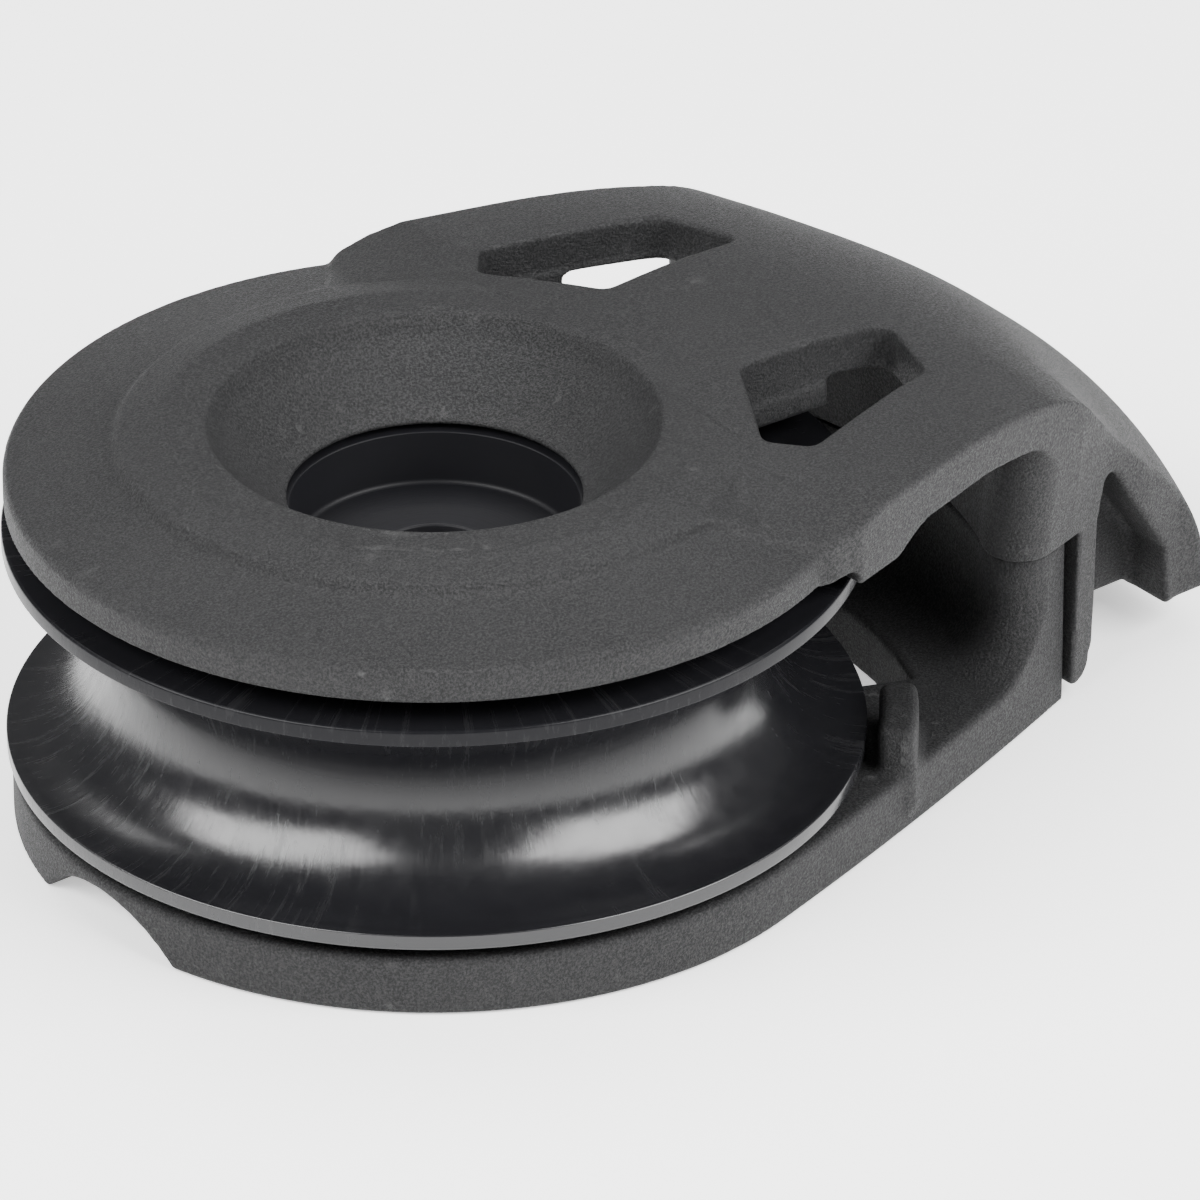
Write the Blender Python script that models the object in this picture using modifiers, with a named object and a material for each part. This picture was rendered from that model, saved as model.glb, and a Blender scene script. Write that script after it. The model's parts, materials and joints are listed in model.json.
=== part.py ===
"""Single sheave block for a 40 mm ball-bearing sheave, as separate parts.

Blender 4.5, metres, +Z up. The block lies flat: the sheave's axis is vertical, the head is at +X
and the tail at -X. Places below are measured from the sheave's axis; the empty "block" carries
every part and moves them, so that the origin is under the middle of the whole object.
"""

from math import cos, pi, radians, sin, sqrt, tan

import bmesh
import bpy
from mathutils import Vector
from mathutils.geometry import interpolate_bezier

MM = 0.001

# Overall, from the sheave's axis and the underside of the lower cheek.
SHEAVE_R = 20.0 * MM
CHEEK_R = 19.75 * MM
HEAD_X = 40.3 * MM
ORIGIN_X = (HEAD_X - SHEAVE_R) / 2

# Clearances.
GAP = 0.3 * MM
BALL_GAP = 0.2 * MM

# Sheave and its bearing.
SHEAVE_LOW = 3.5 * MM
SHEAVE_HIGH = 14.95 * MM
LAND = 0.8 * MM
RIM_CHAMFER = 0.15 * MM
BORE_R = 12.9 * MM
RACE_R = 8.7 * MM
RACE_IN_R = 7.95 * MM
RACE_LOW = 3.2 * MM
RACE_HIGH = 15.2 * MM
BALL_R = 1.9 * MM
BALLS = 16
BALL_ROWS = {"lower": 6.35 * MM, "upper": 12.1 * MM}
RETAINER_IN_R = 9.6 * MM
RETAINER_THICK = 0.6 * MM

# Hub.
CORE_R = 7.65 * MM
CUP_R = 6.7 * MM
CORE_LOW = 3.2 * MM
CORE_HIGH = 15.6 * MM
CUP_FLOOR = 12.9 * MM
HOLE_R = 2.7 * MM
INSERT_R = 2.4 * MM
INSERT_BORE = 1.95 * MM
INSERT_HIGH = 12.3 * MM

# Screws.
SCREW_R = 0.8 * MM
SCREW_HEAD_R = 1.4 * MM
SCREW_HEAD = 1.0 * MM
SCREW_LOW = 0.25 * MM
SCREW_HOLE_R = 1.05 * MM
SOCKET_R = 0.75 * MM
SOCKET_DEPTH = 0.7 * MM
HUB_SCREWS = 3
HUB_SCREW_RING = 5.2 * MM
HUB_SCREW_TOP = 9.0 * MM
HEAD_SCREW_X = 26.4 * MM
HEAD_SCREW_Y = 10.3 * MM
HEAD_SCREW_TOP = 14.0 * MM

# Lower cheek.
PLATE = 2.9 * MM
SIDE_START = 5.1 * MM
SIDE_SLOPE = 0.268
SIDE_BOW = 2.2
COLUMN_TOP = 9.0 * MM
COLUMN_BACK = 28.4 * MM
WALL_R = 26.8 * MM
WALL_CORNER = 1.6 * MM
FOOT_R = 4.2 * MM
OPENING_R = (15.5 * MM, 22.9 * MM)
OPENING_ANGLE = radians(24)
KEEPER_R = (20.6 * MM, 22.4 * MM)
KEEPER_ANGLE = (radians(32), radians(44))
KEEPER_TOP = 5.7 * MM
CHANNEL_HALF = 4.65 * MM
CHANNEL_DEPTH = 2.2 * MM
CHANNEL_END = -11.0 * MM

# Upper cheek.
DISC_R = 19.85 * MM
DISC_LOW = 16.3 * MM
HUB_UNDERSIDE = 15.9 * MM
TOP = 20.05 * MM
LIP_R = 6.8 * MM
LIP_Z = 16.2 * MM
HEAD_PLATE = 2.2 * MM
LEG_X = (28.8 * MM, 30.0 * MM)
LEG_LOW = 1.0 * MM
HOOD_LOW = 2.0 * MM
HOOD_HALF = 10.4 * MM
BOSS_HALF = 14.4 * MM
BOSS_FLARE = 0.12
PLATE_HALF = 18.3 * MM
TAPER_START = 10.3 * MM
TAPER = 0.283
WALL_STEPS = {"upper_wall": (28.0 * MM, 15.8 * MM), "upper_wall_back": (29.95 * MM, 14.2 * MM)}
WEB_Y = (6.5 * MM, 8.0 * MM)
LUG_LOW = 15.5 * MM

FINE, MEDIUM, COARSE = 64, 48, 16


# Helpers -----------------------------------------------------------------------------------------


def clear_scene():
    for obj in list(bpy.data.objects):
        bpy.data.objects.remove(obj, do_unlink=True)


def add_collection(name):
    made = bpy.data.collections.new(name)
    bpy.context.scene.collection.children.link(made)
    return made


def add_empty(name, location, parent=None):
    empty = bpy.data.objects.new(name, None)
    empty.location = location
    empty.parent = parent
    parts.objects.link(empty)
    return empty


def material(name, colour, roughness, metallic=0.0):
    made = bpy.data.materials.new(name)
    made.use_nodes = True
    shader = made.node_tree.nodes["Principled BSDF"]
    shader.inputs["Base Color"].default_value = (*colour, 1.0)
    shader.inputs["Roughness"].default_value = roughness
    shader.inputs["Metallic"].default_value = metallic
    return made


def part(name, mesh, finish, parent=None, location=(0.0, 0.0, 0.0)):
    mesh.materials.clear()
    mesh.materials.append(finish)
    mesh.shade_smooth()
    mesh.set_sharp_from_angle(angle=radians(35))
    obj = bpy.data.objects.new(name, mesh)
    obj.location = location
    obj.parent = parent or block
    parts.objects.link(obj)
    return obj


def cutter(name, mesh, location=(0.0, 0.0, 0.0)):
    obj = bpy.data.objects.new(name, mesh)
    obj.location = location
    obj.parent = block
    obj.hide_render = True
    obj.display_type = "WIRE"
    cutters.objects.link(obj)
    return obj


def boolean(obj, other, operation, solver="EXACT"):
    """The upper cheek uses MANIFOLD, because EXACT drops the whole body at one of its ribs."""
    modifier = obj.modifiers.new(other.name, "BOOLEAN")
    modifier.operation = operation
    modifier.object = other
    modifier.solver = solver


def finished_mesh(obj):
    """The object's evaluated mesh, welded and facing out; the object itself is removed."""
    bpy.context.view_layer.update()
    graph = bpy.context.evaluated_depsgraph_get()
    mesh = bpy.data.meshes.new_from_object(obj.evaluated_get(graph))
    bpy.data.objects.remove(obj, do_unlink=True)
    bm = bmesh.new()
    bm.from_mesh(mesh)
    bmesh.ops.remove_doubles(bm, verts=bm.verts, dist=0.000002)
    bmesh.ops.recalc_face_normals(bm, faces=bm.faces)
    bm.to_mesh(mesh)
    bm.free()
    return mesh


def turned(profile, steps):
    """A body of revolution about Z. profile holds (radius, z) pairs, down the outer side first."""
    mesh = bpy.data.meshes.new("turned")
    edges = [(i, (i + 1) % len(profile)) for i in range(len(profile))]
    edges = [edge for edge in edges if any(profile[i][0] for i in edge)]
    mesh.from_pydata([(r, 0.0, z) for r, z in profile], edges, [])
    lathe = bpy.data.objects.new("lathe", mesh)
    bpy.context.scene.collection.objects.link(lathe)
    screw = lathe.modifiers.new("turn", "SCREW")
    screw.axis = "Z"
    screw.steps = screw.render_steps = steps
    screw.use_merge_vertices = True
    screw.merge_threshold = 0.000002
    return finished_mesh(lathe)


def ring(inner, outer, low, high, steps=MEDIUM):
    return turned([(outer, high), (outer, low), (inner, low), (inner, high)], steps)


def cylinder(radius, low, high, segments=COARSE):
    bm = bmesh.new()
    bmesh.ops.create_cone(
        bm, cap_ends=True, segments=segments, radius1=radius, radius2=radius, depth=high - low
    )
    bmesh.ops.translate(bm, verts=bm.verts, vec=(0.0, 0.0, (high + low) / 2))
    return mesh_of(bm)


def box(low, high):
    bm = bmesh.new()
    bmesh.ops.create_cube(bm, size=1.0)
    size = Vector(high) - Vector(low)
    bmesh.ops.scale(bm, verts=bm.verts, vec=size)
    bmesh.ops.translate(bm, verts=bm.verts, vec=Vector(low) + size / 2)
    return mesh_of(bm)


def mesh_of(bm):
    mesh = bpy.data.meshes.new("mesh")
    bm.to_mesh(mesh)
    bm.free()
    return mesh


def prism(outline, low, high):
    """A flat outline in plan, filled and extruded from z low to z high."""
    curve = bpy.data.curves.new("outline", "CURVE")
    curve.dimensions = "2D"
    curve.fill_mode = "BOTH"
    curve.extrude = (high - low) / 2
    spline = curve.splines.new("POLY")
    spline.points.add(len(outline) - 1)
    for point, (x, y) in zip(spline.points, outline):
        point.co = (x, y, 0.0, 1.0)
    spline.use_cyclic_u = True
    obj = bpy.data.objects.new("outline", curve)
    bpy.context.scene.collection.objects.link(obj)
    mesh = finished_mesh(obj)
    for vertex in mesh.vertices:
        vertex.co.z += (high + low) / 2
    return mesh


def side_prism(outline, y_low, y_high):
    """An outline in (x, z), extruded from y_low to y_high."""
    mesh = prism([(x, -z) for x, z in outline], y_low, y_high)
    for vertex in mesh.vertices:
        vertex.co = (vertex.co.x, vertex.co.z, -vertex.co.y)
    return mesh


def arc(radius, start, end, count):
    """Points on a circle about the sheave's axis, both ends included."""
    angles = [start + (end - start) * i / (count - 1) for i in range(count)]
    return [(radius * cos(a), radius * sin(a)) for a in angles]


def rounded(outline, radius, count=4):
    """The closed outline with each corner replaced by an arc of about this radius."""
    made = []
    for i, corner in enumerate(outline):
        here = Vector(corner)
        before = (Vector(outline[i - 1]) - here).normalized()
        after = (Vector(outline[(i + 1) % len(outline)]) - here).normalized()
        half = before.angle(after) / 2
        back = radius / tan(half)
        start, end = here + before * back, here + after * back
        made += [tuple(p) for p in quadratic(start, here, end, count)]
    return made


def quadratic(start, middle, end, count):
    steps = [i / (count - 1) for i in range(count)]
    return [start * (1 - t) ** 2 + middle * 2 * t * (1 - t) + end * t**2 for t in steps]


def mirrored(outline):
    return [(x, -y) for x, y in reversed(outline)]


def ramp(value, low, high):
    """0 below low, 1 above high, straight between them."""
    return min(max((value - low) / (high - low), 0.0), 1.0)


def smooth(value, low, high):
    t = ramp(value, low, high)
    return t * t * (3 - 2 * t)


def smooth_curve(points, count):
    """count points for each stretch of a curve that passes smoothly through the points."""
    points = [Vector(p) for p in points]
    made = []
    for i in range(len(points) - 1):
        before, after = points[max(i - 1, 0)], points[min(i + 2, len(points) - 1)]
        a, b = points[i], points[i + 1]
        reach = (b - a).length / 3
        left = a + (b - before).normalized() * reach
        right = b - (after - a).normalized() * reach
        stretch = interpolate_bezier(a.to_3d(), left.to_3d(), right.to_3d(), b.to_3d(), count + 1)
        made += stretch[:-1]
    return [(p.x, p.y) for p in made] + [tuple(points[-1])]


# Sheave and bearing ------------------------------------------------------------------------------


def sheave_profile():
    """Flat lands at the rims and a round groove between them, with a plain bore."""
    middle = (SHEAVE_HIGH + SHEAVE_LOW) / 2
    radius = (SHEAVE_HIGH - SHEAVE_LOW) / 2 - LAND
    steps = 12
    angles = [pi / 2 - pi * i / steps for i in range(steps + 1)]
    groove = [(SHEAVE_R - radius * cos(a), middle + radius * sin(a)) for a in angles]
    rim = [(SHEAVE_R - RIM_CHAMFER, SHEAVE_HIGH), (SHEAVE_R, SHEAVE_HIGH - RIM_CHAMFER)]
    lower_rim = [(r, 2 * middle - z) for r, z in reversed(rim)]
    return [(BORE_R, SHEAVE_HIGH)] + rim + groove + lower_rim + [(BORE_R, SHEAVE_LOW)]


def build_bearing():
    part("sheave", turned(sheave_profile(), FINE), gloss, wheel)
    part("inner_race", ring(RACE_IN_R, RACE_R, RACE_LOW, RACE_HIGH), acetal)
    outer = BORE_R - BALL_GAP
    low_row, high_row = BALL_ROWS["lower"], BALL_ROWS["upper"]
    spacer = ring(
        RETAINER_IN_R, outer, low_row + BALL_R + BALL_GAP, high_row - BALL_R - BALL_GAP
    )
    part("ball_spacer", spacer, acetal, wheel)
    upper = ring(RETAINER_IN_R, outer, SHEAVE_HIGH - RETAINER_THICK, SHEAVE_HIGH)
    part("upper_race_ring", upper, acetal, wheel)
    lower = ring(RETAINER_IN_R, outer, SHEAVE_LOW, SHEAVE_LOW + RETAINER_THICK)
    part("lower_race_ring", lower, acetal, wheel)
    for row, height in BALL_ROWS.items():
        build_balls(row, height)


def build_balls(row, height):
    """One full row of loose balls, carried by an empty on the sheave's axis."""
    carrier = add_empty(f"{row}_ball_row", (0.0, 0.0, height), block)
    bm = bmesh.new()
    bmesh.ops.create_uvsphere(bm, u_segments=10, v_segments=7, radius=BALL_R)
    mesh = mesh_of(bm)
    middle = (RACE_R + BORE_R) / 2
    for i in range(BALLS):
        angle = 2 * pi * i / BALLS
        place = (middle * cos(angle), middle * sin(angle), 0.0)
        part(f"{row}_ball_{i + 1:02d}", mesh, ball_finish, carrier, place)


# Hub ---------------------------------------------------------------------------------------------


def build_hub():
    core = turned(
        [
            (CORE_R, CORE_HIGH),
            (CORE_R, CORE_LOW),
            (HOLE_R, CORE_LOW),
            (HOLE_R, CUP_FLOOR),
            (CUP_R, CUP_FLOOR),
            (CUP_R, CORE_HIGH),
        ],
        MEDIUM,
    )
    hub = part("hub_core", core, gloss)
    for i, (x, y) in enumerate(hub_screw_places()):
        pilot = cylinder(SCREW_HOLE_R, CORE_LOW - 1 * MM, HUB_SCREW_TOP + GAP)
        boolean(hub, cutter(f"core_pilot_{i + 1}", pilot, (x, y, 0.0)), "DIFFERENCE")
    part("thread_insert", ring(INSERT_BORE, INSERT_R, CORE_LOW, INSERT_HIGH, 24), steel)


def hub_screw_places():
    return arc(HUB_SCREW_RING, pi / 3, pi / 3 + 2 * pi * (HUB_SCREWS - 1) / HUB_SCREWS, HUB_SCREWS)


def screw_mesh(top):
    """A countersunk screw, head down, with its shank up to z top."""
    head_top = SCREW_LOW + SCREW_HEAD
    return turned(
        [
            (0.0, top),
            (SCREW_R * 0.6, top),
            (SCREW_R, top - 0.5 * MM),
            (SCREW_R, head_top),
            (SCREW_HEAD_R, SCREW_LOW + 0.2 * MM),
            (SCREW_HEAD_R, SCREW_LOW),
            (0.0, SCREW_LOW),
        ],
        12,
    )


def build_screws():
    socket = cylinder(SOCKET_R, SCREW_LOW - 1 * MM, SCREW_LOW + SOCKET_DEPTH, 6)
    for i, (x, y) in enumerate(hub_screw_places()):
        screw = part(f"hub_screw_{i + 1}", screw_mesh(HUB_SCREW_TOP), steel, None, (x, y, 0.0))
        boolean(screw, cutter(f"hub_socket_{i + 1}", socket, (x, y, 0.0)), "DIFFERENCE")
    for side, y in (("left", HEAD_SCREW_Y), ("right", -HEAD_SCREW_Y)):
        place = (HEAD_SCREW_X, y, 0.0)
        screw = part(f"head_screw_{side}", screw_mesh(HEAD_SCREW_TOP), steel, None, place)
        boolean(screw, cutter(f"head_socket_{side}", socket, place), "DIFFERENCE")


def screw_hole(top):
    """A countersunk hole for one screw, open at the underside."""
    step = SCREW_LOW + SCREW_HEAD
    head = SCREW_HEAD_R + 0.25 * MM
    return turned(
        [
            (0.0, top),
            (SCREW_HOLE_R, top),
            (SCREW_HOLE_R, step + GAP),
            (head, SCREW_LOW + GAP + 0.2 * MM),
            (head, -1 * MM),
            (0.0, -1 * MM),
        ],
        COARSE,
    )


# Lower cheek -------------------------------------------------------------------------------------


def lower_half_width(x):
    """Half the lower cheek's width: round at the tail, then a slightly bowed taper to the head."""
    if x <= SIDE_START:
        return sqrt(max(CHEEK_R**2 - x**2, 0.0))
    run = x - SIDE_START
    start = sqrt(CHEEK_R**2 - SIDE_START**2)
    return start - SIDE_SLOPE * run - SIDE_BOW * run**2


def lower_outline():
    start = pi / 2 - SIDE_START / CHEEK_R
    tail = arc(CHEEK_R, start, 2 * pi - start, 41)
    xs = [SIDE_START + (COLUMN_BACK - SIDE_START) * i / 6 for i in range(1, 7)]
    side = [(x, -lower_half_width(x)) for x in xs]
    return tail + side + mirrored(side)


def wall_outline(back, half_width, inset=0.0):
    """The head wall in plan: hollow towards the sheave, with round corners at both ends."""
    reach = radians(24.5)
    front = arc(WALL_R, reach, -reach, 13)
    corner_x = WALL_R * cos(reach) + WALL_CORNER
    corner = quadratic(
        Vector(front[-1]),
        Vector((WALL_R * cos(reach) - 0.3 * MM, -half_width(corner_x) + inset)),
        Vector((corner_x, -half_width(corner_x) + inset)),
        5,
    )
    near = [tuple(p) for p in corner[1:]] + [(back, -half_width(back) + inset)]
    return front + near + mirrored(near)


def sector_outline(radii, start, end, count):
    return arc(radii[1], start, end, count) + list(reversed(arc(radii[0], start, end, count)))


def channel_mesh():
    """The rod that leaves an arched channel across the tail's underside."""
    radius = (CHANNEL_HALF**2 + CHANNEL_DEPTH**2) / (2 * CHANNEL_DEPTH)
    mesh = cylinder(radius, -SHEAVE_R - 2 * MM, CHANNEL_END, 40)
    for vertex in mesh.vertices:
        x, y, z = vertex.co
        vertex.co = (z, y, CHANNEL_DEPTH - radius - x)
    return mesh


def wall_foot_profile():
    """The hollow curve from the plate up the head wall, as (radius, z) pairs."""
    centre = Vector((WALL_R - FOOT_R, PLATE + FOOT_R))
    angles = [-pi / 2 * i / 5 for i in range(6)]
    curve = [(centre.x + FOOT_R * cos(a), centre.y + FOOT_R * sin(a)) for a in angles]
    back, low = WALL_R + 0.6 * MM, 1 * MM
    return [(back, curve[0][1]), (back, low), (curve[-1][0], low)] + list(reversed(curve))


def build_lower_cheek():
    cheek = part("lower_cheek", prism(lower_outline(), 0.0, PLATE), grained)
    wall = prism(wall_outline(COLUMN_BACK, lower_half_width), 1 * MM, COLUMN_TOP)
    boolean(cheek, cutter("lower_wall", wall), "UNION")
    foot = cutter("wall_foot", turned(wall_foot_profile(), FINE))
    side = [(x, 0.1 * MM - lower_half_width(x)) for x in (17 * MM, 22 * MM, COLUMN_BACK)]
    boolean(foot, cutter("foot_sides", prism(side + mirrored(side), 0.0, COLUMN_TOP)), "INTERSECT")
    boolean(cheek, foot, "UNION")
    for side, (start, end) in (("left", KEEPER_ANGLE), ("right", [-a for a in KEEPER_ANGLE])):
        keeper = prism(rounded(sector_outline(KEEPER_R, start, end, 4), 0.3 * MM, 2), 1 * MM, KEEPER_TOP)
        boolean(cheek, cutter(f"keeper_{side}", keeper), "UNION")
    opening = sector_outline(OPENING_R, -OPENING_ANGLE, OPENING_ANGLE, 13)
    boolean(cheek, cutter("plate_opening", prism(opening, -1 * MM, PLATE + 1 * MM)), "DIFFERENCE")
    boolean(cheek, cutter("tail_channel", channel_mesh()), "DIFFERENCE")
    centre = cylinder(HOLE_R + GAP, -1 * MM, PLATE + 1 * MM, 32)
    boolean(cheek, cutter("centre_hole", centre), "DIFFERENCE")
    for i, (x, y) in enumerate(hub_screw_places()):
        hole = screw_hole(PLATE + 1 * MM)
        boolean(cheek, cutter(f"hub_hole_{i + 1}", hole, (x, y, 0.0)), "DIFFERENCE")
    for side, y in (("left", HEAD_SCREW_Y), ("right", -HEAD_SCREW_Y)):
        hole = screw_hole(COLUMN_TOP + 1 * MM)
        place = (HEAD_SCREW_X, y, 0.0)
        boolean(cheek, cutter(f"column_hole_{side}", hole, place), "DIFFERENCE")


# Upper cheek -------------------------------------------------------------------------------------


def disc_profile():
    """The round end: a thin domed edge, a low step up to the boss, and the hub's flat underside."""
    edge, step = 17.9 * MM, 18.95 * MM
    return [
        (0.0, TOP - 0.1 * MM),
        (11.4 * MM, TOP - 0.1 * MM),
        (14.5 * MM, 19.4 * MM),
        (14.8 * MM, 19.25 * MM),
        (14.95 * MM, step),
        (DISC_R - 0.35 * MM, edge),
        (DISC_R, edge - 0.3 * MM),
        (DISC_R, DISC_LOW),
        (8.3 * MM, DISC_LOW),
        (8.0 * MM, HUB_UNDERSIDE),
        (0.0, HUB_UNDERSIDE),
    ]


def funnel_profile():
    """The space of the funnel and of the hole in its bottom."""
    return [
        (0.0, TOP + 1 * MM),
        (11.8 * MM, TOP + 1 * MM),
        (11.1 * MM, TOP - 0.05 * MM),
        (10.4 * MM, TOP - 0.5 * MM),
        (9.3 * MM, 18.5 * MM),
        (7.7 * MM, 16.95 * MM),
        (LIP_R, LIP_Z),
        (LIP_R, HUB_UNDERSIDE - 1 * MM),
        (0.0, HUB_UNDERSIDE - 1 * MM),
    ]


def upper_half_width(x):
    """Half the head plate's width: an S-curve out of the boss, then a straight taper to the head."""
    boss = BOSS_HALF + BOSS_FLARE * (x - 3 * MM)
    plate = max(PLATE_HALF - TAPER * max(x - TAPER_START, 0.0), HOOD_HALF)
    blend = smooth(x, 4.6 * MM, 8.8 * MM)
    return boss * (1 - blend) + plate * blend


def head_ridge():
    """The head plate's middle line in (x, z), from the boss over the hood to its lower edge."""
    flat = [(x * MM, TOP) for x in (2.6, 4.6, 5.4, 6.2, 7.0, 7.8)]
    bend = [(8.8, 20.05), (21.0, 19.95), (28.5, 18.3), (34.1, 14.4), (38.3, 10.3), (40.0, 6.4)]
    hood = [(x * MM, z * MM) for x, z in bend] + [(HEAD_X, 0.8 * MM)]
    return flat + smooth_curve(hood, 2)


def crown(x):
    """How fast the plate drops towards its sides, in metres per square metre."""
    tail = 2.6 * (1 - ramp(x, 7 * MM, 12 * MM)) * ramp(x, 4.6 * MM, 7 * MM)
    return 3.4 + tail + 2.5 * ramp(x, 12 * MM, 25 * MM) + 12.1 * smooth(x, 25 * MM, 34 * MM)


def head_shell():
    """The head plate and the hood as an open surface, thickened inwards."""
    across = 10
    bm = bmesh.new()
    rows = []
    for x, z in head_ridge():
        half = upper_half_width(x)
        bow = 15.0 * ramp(x, 28 * MM, 36 * MM)
        row = []
        for j in range(across + 1):
            y = half * (2 * j / across - 1)
            row.append(bm.verts.new((x - bow * y * y, y, z - crown(x) * y * y)))
        rows.append(row)
    for near, far in zip(rows, rows[1:]):
        for j in range(across):
            bm.faces.new((near[j], far[j], far[j + 1], near[j + 1]))
    shell = bpy.data.objects.new("head", mesh_of(bm))
    bpy.context.scene.collection.objects.link(shell)
    thick = shell.modifiers.new("thickness", "SOLIDIFY")
    thick.thickness = HEAD_PLATE
    thick.offset = -1.0
    thick.use_even_offset = True
    return finished_mesh(shell)


def window_outline():
    """One window of the head plate, on the +Y side."""
    inner, outer = (14.1 * MM, 4.9 * MM), (10.9 * MM, 10.5 * MM)
    corners = [inner, (22.6 * MM, 5.4 * MM), (21.3 * MM, 9.7 * MM), (12.4 * MM, 12.3 * MM), outer]
    return rounded(corners, 0.7 * MM)


def lug_mesh(sign):
    """The thickening below the plate's edge, which runs along the plate's tapering side."""
    steps = [(10.4, LUG_LOW), (13.2, LUG_LOW), (14.2, 15.7 * MM), (15.4, 16.3 * MM), (17.5, 17.2 * MM)]
    outline = [(x * MM, z) for x, z in steps] + [(10.4 * MM, 17.2 * MM)]
    mesh = side_prism(outline, *sorted((sign * 15.0 * MM, sign * 17.5 * MM)))
    for vertex in mesh.vertices:
        vertex.co.y -= sign * TAPER * (vertex.co.x - 11.5 * MM)
    return mesh


def web_outline():
    """One rib inside the hood, in (x, z), from the leg to the end wall."""
    tops = [(29.4, 15.0), (33.5, 11.6), (36.5, 8.4), (38.0, 5.4)]
    low = HOOD_LOW - 0.5 * MM
    return [(29.4 * MM, low)] + [(x * MM, z * MM) for x, z in tops] + [(38.0 * MM, low)]


def build_upper_cheek():
    cheek = part("upper_cheek", turned(disc_profile(), FINE), grained)
    boolean(cheek, cutter("head_shell", head_shell()), "UNION", "MANIFOLD")
    for name, (back, top) in WALL_STEPS.items():
        wall = prism(wall_outline(back, upper_half_width, 0.5 * MM), COLUMN_TOP + GAP, top)
        boolean(cheek, cutter(name, wall), "UNION", "MANIFOLD")
    leg_half = upper_half_width(LEG_X[1]) - 0.35 * MM
    leg = box((LEG_X[0], -leg_half, LEG_LOW), (LEG_X[1], leg_half, COLUMN_TOP + 1 * MM))
    boolean(cheek, cutter("leg", leg), "UNION", "MANIFOLD")
    for side, sign in (("left", 1), ("right", -1)):
        lows, highs = sorted(sign * y for y in WEB_Y)
        boolean(cheek, cutter(f"web_{side}", side_prism(web_outline(), lows, highs)), "UNION", "MANIFOLD")
        boolean(cheek, cutter(f"lug_{side}", lug_mesh(sign)), "UNION", "MANIFOLD")
        window = window_outline() if sign > 0 else mirrored(window_outline())
        cut = prism(window, 15.0 * MM, 21.5 * MM)
        boolean(cheek, cutter(f"window_{side}", cut), "DIFFERENCE", "MANIFOLD")
        hole = cylinder(SCREW_HOLE_R, COLUMN_TOP, HEAD_SCREW_TOP + GAP)
        place = (HEAD_SCREW_X, sign * HEAD_SCREW_Y, 0.0)
        boolean(cheek, cutter(f"post_hole_{side}", hole, place), "DIFFERENCE", "MANIFOLD")
    boolean(cheek, cutter("funnel", turned(funnel_profile(), FINE)), "DIFFERENCE", "MANIFOLD")
    low = box((LEG_X[1] + 0.1 * MM, -20 * MM, -5 * MM), (HEAD_X + 5 * MM, 20 * MM, HOOD_LOW))
    boolean(cheek, cutter("hood_edge", low), "DIFFERENCE", "MANIFOLD")


clear_scene()
parts = add_collection("single_sheave_block")
cutters = add_collection("cutters")
block = add_empty("block", (-ORIGIN_X, 0.0, 0.0))
wheel = add_empty("sheave_axis", (0.0, 0.0, 0.0), block)
grained = material("grained_moulding", (0.028, 0.029, 0.031), 0.62)
gloss = material("gloss_moulding", (0.008, 0.008, 0.009), 0.22)
acetal = material("acetal", (0.02, 0.02, 0.022), 0.4)
ball_finish = material("ball_acetal", (0.75, 0.74, 0.7), 0.3)
steel = material("stainless_steel", (0.5, 0.5, 0.5), 0.3, 1.0)
build_bearing()
build_hub()
build_screws()
build_lower_cheek()
build_upper_cheek()
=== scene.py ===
"""Looks for the single sheave block: moulded shells with real fillets, a glossy grooved wheel, and
procedural materials. Places are in millimetres from the sheave's axis, on the deck plane z = 0."""

import json
from math import cos, pi, radians, sin, sqrt, tan

import bmesh
import bpy
import numpy as np
import openvdb
from mathutils import Matrix, Vector
from mathutils.geometry import interpolate_bezier


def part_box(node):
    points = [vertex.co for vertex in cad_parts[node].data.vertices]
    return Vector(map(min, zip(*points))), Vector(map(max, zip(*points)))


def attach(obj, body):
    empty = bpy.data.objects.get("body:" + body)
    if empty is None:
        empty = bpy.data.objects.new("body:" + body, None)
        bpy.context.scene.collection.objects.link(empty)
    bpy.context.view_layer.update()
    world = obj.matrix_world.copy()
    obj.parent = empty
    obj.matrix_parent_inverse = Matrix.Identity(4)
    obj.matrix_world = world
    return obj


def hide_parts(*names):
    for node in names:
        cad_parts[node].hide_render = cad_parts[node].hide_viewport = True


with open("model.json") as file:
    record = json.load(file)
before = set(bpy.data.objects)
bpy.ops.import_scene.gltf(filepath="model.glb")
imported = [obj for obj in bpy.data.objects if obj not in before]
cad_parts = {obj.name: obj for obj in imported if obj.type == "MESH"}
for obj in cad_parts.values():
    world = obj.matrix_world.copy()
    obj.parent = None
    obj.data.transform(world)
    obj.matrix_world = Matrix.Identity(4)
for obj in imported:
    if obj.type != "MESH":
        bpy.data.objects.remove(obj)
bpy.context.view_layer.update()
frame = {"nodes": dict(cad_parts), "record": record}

MM = 0.001

# Read from the frame, in millimetres.
wheel_low, wheel_high = (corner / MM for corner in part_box("sheave"))
upper_low, upper_high = (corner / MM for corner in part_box("upper_cheek"))
lower_low, lower_high = (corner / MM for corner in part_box("lower_cheek"))
hub_low, hub_high = (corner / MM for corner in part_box("hub_core"))
race_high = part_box("upper_race_ring")[1] / MM
insert_low, insert_high = (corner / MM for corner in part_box("thread_insert"))
AXIS_X = (wheel_low.x + wheel_high.x) / 2
SHEAVE_R = (wheel_high.x - wheel_low.x) / 2
SHEAVE_Z = (wheel_low.z, wheel_high.z)
HEAD_X = upper_high.x - AXIS_X
DISC_R = AXIS_X - upper_low.x
CHEEK_R = AXIS_X - lower_low.x
COLUMN_BACK = lower_high.x - AXIS_X
COLUMN_TOP = lower_high.z
CORE_R = hub_high.x - AXIS_X
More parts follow.
